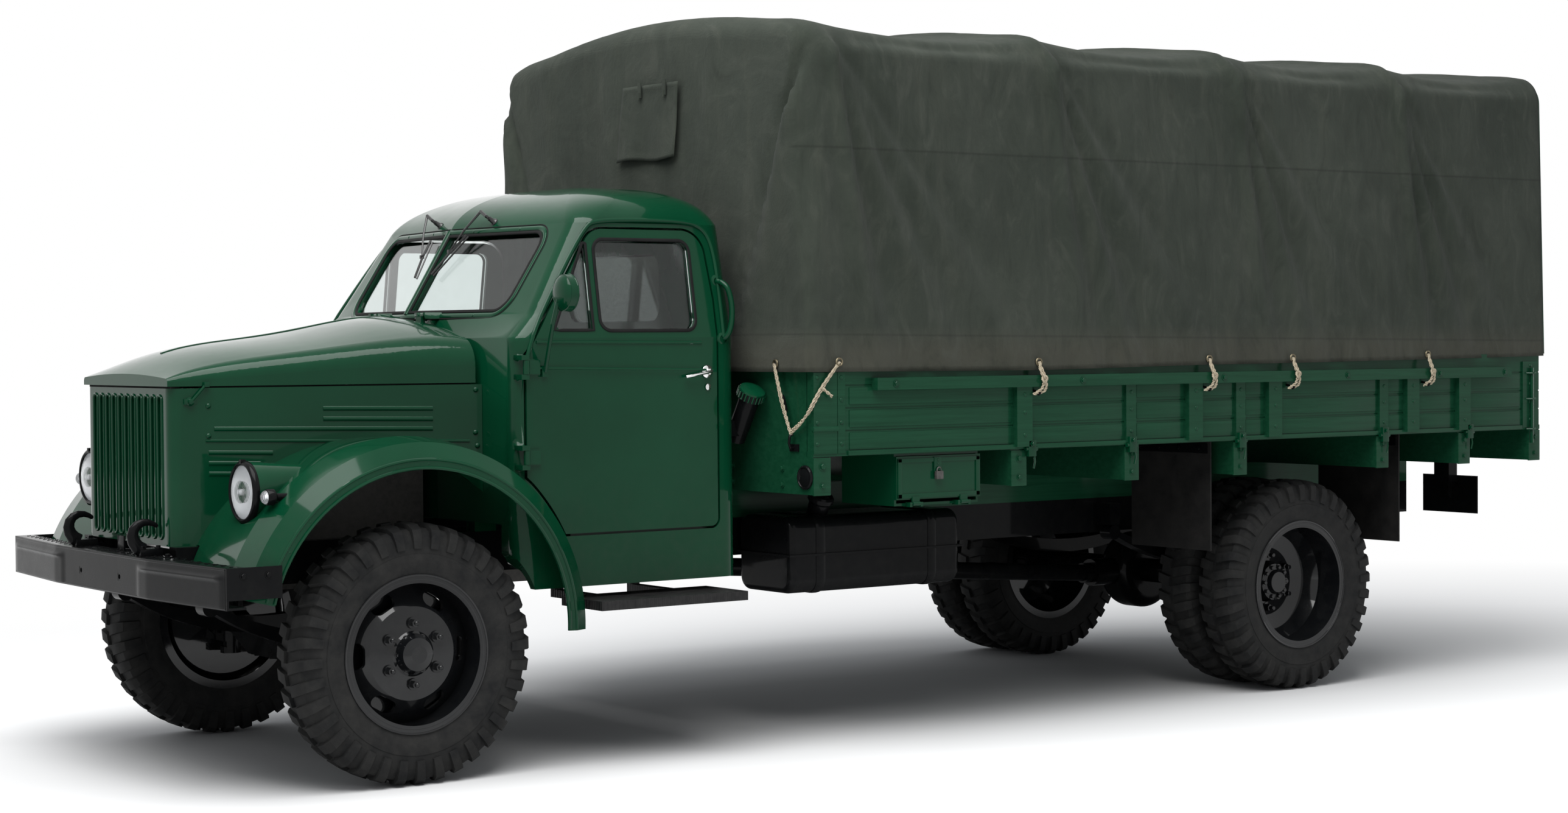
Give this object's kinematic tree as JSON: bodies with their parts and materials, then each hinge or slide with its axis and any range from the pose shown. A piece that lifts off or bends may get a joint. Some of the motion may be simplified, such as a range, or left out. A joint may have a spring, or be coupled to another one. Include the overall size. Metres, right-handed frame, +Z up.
{
  "type": "cargo truck",
  "caption": "Two-axle military cargo truck with a bonneted steel cab, round fenders, a wooden drop-tail load bed and a canvas cover on bows.",
  "frame": {"origin": "on the ground under the middle of the overall box", "axes": "+X to the truck's left, the front faces -Y, +Z up"},
  "size_m": [2.362, 6.624, 2.8548],
  "materials": {
    "green_paint": "gloss",
    "black_paint": "satin",
    "green_wood": "painted satin",
    "tyre_rubber": "matt",
    "engine_iron": "rough",
    "radiator_metal": "matt black",
    "window_glass": "clear",
    "lamp_lens": "fluted",
    "tail_lens": "gloss",
    "seat_cloth": "dull",
    "dark_plastic": "gloss",
    "canvas": "matt",
    "flap_rubber": "dull"
  },
  "bodies": {
    "chassis": {"front_axle_beam": "black_paint", "rear_axle_housing": "black_paint", "leaf_springs": "black_paint", "frame_rails": "black_paint", "frame_crossmembers": "black_paint", "drive_shaft": "black_paint", "front_bumper": "black_paint", "tow_hooks": "black_paint", "running_boards": "black_paint", "fuel_tank": "black_paint", "exhaust": "black_paint", "engine_block": "engine_iron", "radiator_core": "radiator_metal", "radiator_shell": "green_paint", "hood_sides": "green_paint", "cab_cowl": "green_paint", "cab_back": "green_paint", "cab_roof": "green_paint", "cab_floor": "green_paint", "fender_left": "green_paint", "fender_right": "green_paint", "dashboard": "green_paint", "seat_base": "green_paint", "fuel_filler": "green_paint", "toolbox": "green_paint", "bed_floor": "green_wood", "bed_front_board": "green_wood", "bed_side_left": "green_wood", "bed_side_right": "green_wood", "cover_bows": "green_wood", "cab_glass": "window_glass", "headlamps": "lamp_lens", "tail_lamps": "tail_lens", "seat": "seat_cloth", "steering_column": "dark_plastic", "cover": "canvas", "mud_flaps": "flap_rubber"},
    "knuckle_left": {"knuckle_left": "black_paint"},
    "knuckle_right": {"knuckle_right": "black_paint"},
    "tie_rod": {"tie_rod": "black_paint"},
    "wheel_front_left": {"tyre_front_left": "tyre_rubber", "wheel_front_left": "black_paint"},
    "wheel_front_right": {"tyre_front_right": "tyre_rubber", "wheel_front_right": "black_paint"},
    "wheel_rear_left": {"tyres_rear_left": "tyre_rubber", "wheel_rear_left": "black_paint"},
    "wheel_rear_right": {"tyres_rear_right": "tyre_rubber", "wheel_rear_right": "black_paint"},
    "hood": {"hood": "green_paint"},
    "door_left": {"door_left": "green_paint", "door_glass_left": "window_glass", "mirror_left": "green_paint"},
    "door_right": {"door_right": "green_paint", "door_glass_right": "window_glass"},
    "tailgate": {"tailgate": "green_wood"},
    "toolbox_lid": {"toolbox_lid": "green_paint"},
    "steering_wheel": {"steering_wheel": "dark_plastic"}
  },
  "joints": [
    {"name": "steer_left", "type": "hinge", "parent": "chassis", "child": "knuckle_left", "pos_m": [0.66, -2.505, 0.46], "axis": [0, 0, 1], "range_deg": [-30, 30]},
    {"name": "steer_right", "type": "hinge", "parent": "chassis", "child": "knuckle_right", "pos_m": [-0.66, -2.505, 0.46], "axis": [0, 0, 1], "range_deg": [-30, 30]},
    {"name": "tie_rod_pivot", "type": "hinge", "parent": "knuckle_left", "child": "tie_rod", "pos_m": [0.66, -2.335, 0.31], "axis": [0, 0, 1], "range_deg": [-30, 30]},
    {"name": "spin_front_left", "type": "hinge", "parent": "knuckle_left", "child": "wheel_front_left", "pos_m": [0.794, -2.505, 0.46], "axis": [1, 0, 0], "continuous": true},
    {"name": "spin_front_right", "type": "hinge", "parent": "knuckle_right", "child": "wheel_front_right", "pos_m": [-0.794, -2.505, 0.46], "axis": [1, 0, 0], "continuous": true},
    {"name": "spin_rear_left", "type": "hinge", "parent": "chassis", "child": "wheel_rear_left", "pos_m": [0.817, 1.775, 0.46], "axis": [1, 0, 0], "continuous": true},
    {"name": "spin_rear_right", "type": "hinge", "parent": "chassis", "child": "wheel_rear_right", "pos_m": [-0.817, 1.775, 0.46], "axis": [1, 0, 0], "continuous": true},
    {"name": "hood_lift", "type": "hinge", "parent": "chassis", "child": "hood", "pos_m": [0, -2.094, 1.648], "axis": [-1, 0, 0], "range_deg": [0, 50]},
    {"name": "door_left_swing", "type": "hinge", "parent": "chassis", "child": "door_left", "pos_m": [0.853, -2.039, 1.3], "axis": [0, 0, -1], "range_deg": [0, 70]},
    {"name": "door_right_swing", "type": "hinge", "parent": "chassis", "child": "door_right", "pos_m": [-0.853, -2.039, 1.3], "axis": [0, 0, 1], "range_deg": [0, 70]},
    {"name": "tailgate_drop", "type": "hinge", "parent": "chassis", "child": "tailgate", "pos_m": [0, 3.289, 1.104], "axis": [-1, 0, 0], "range_deg": [0, 175]},
    {"name": "toolbox_drop", "type": "hinge", "parent": "chassis", "child": "toolbox_lid", "pos_m": [1.136, -0.355, 0.913], "axis": [0, 1, 0], "range_deg": [0, 170]},
    {"name": "steering_wheel_turn", "type": "hinge", "parent": "chassis", "child": "steering_wheel", "pos_m": [0.37, -1.7, 1.45], "axis": [0, 0.788, 0.6157], "range_deg": [-540, 540]}
  ],
  "couplings": [
    {"joint": "steer_right", "follows": "steer_left", "ratio": 1},
    {"joint": "tie_rod_pivot", "follows": "steer_left", "ratio": -1},
    {"joint": "steering_wheel_turn", "follows": "steer_left", "ratio": 18}
  ]
}
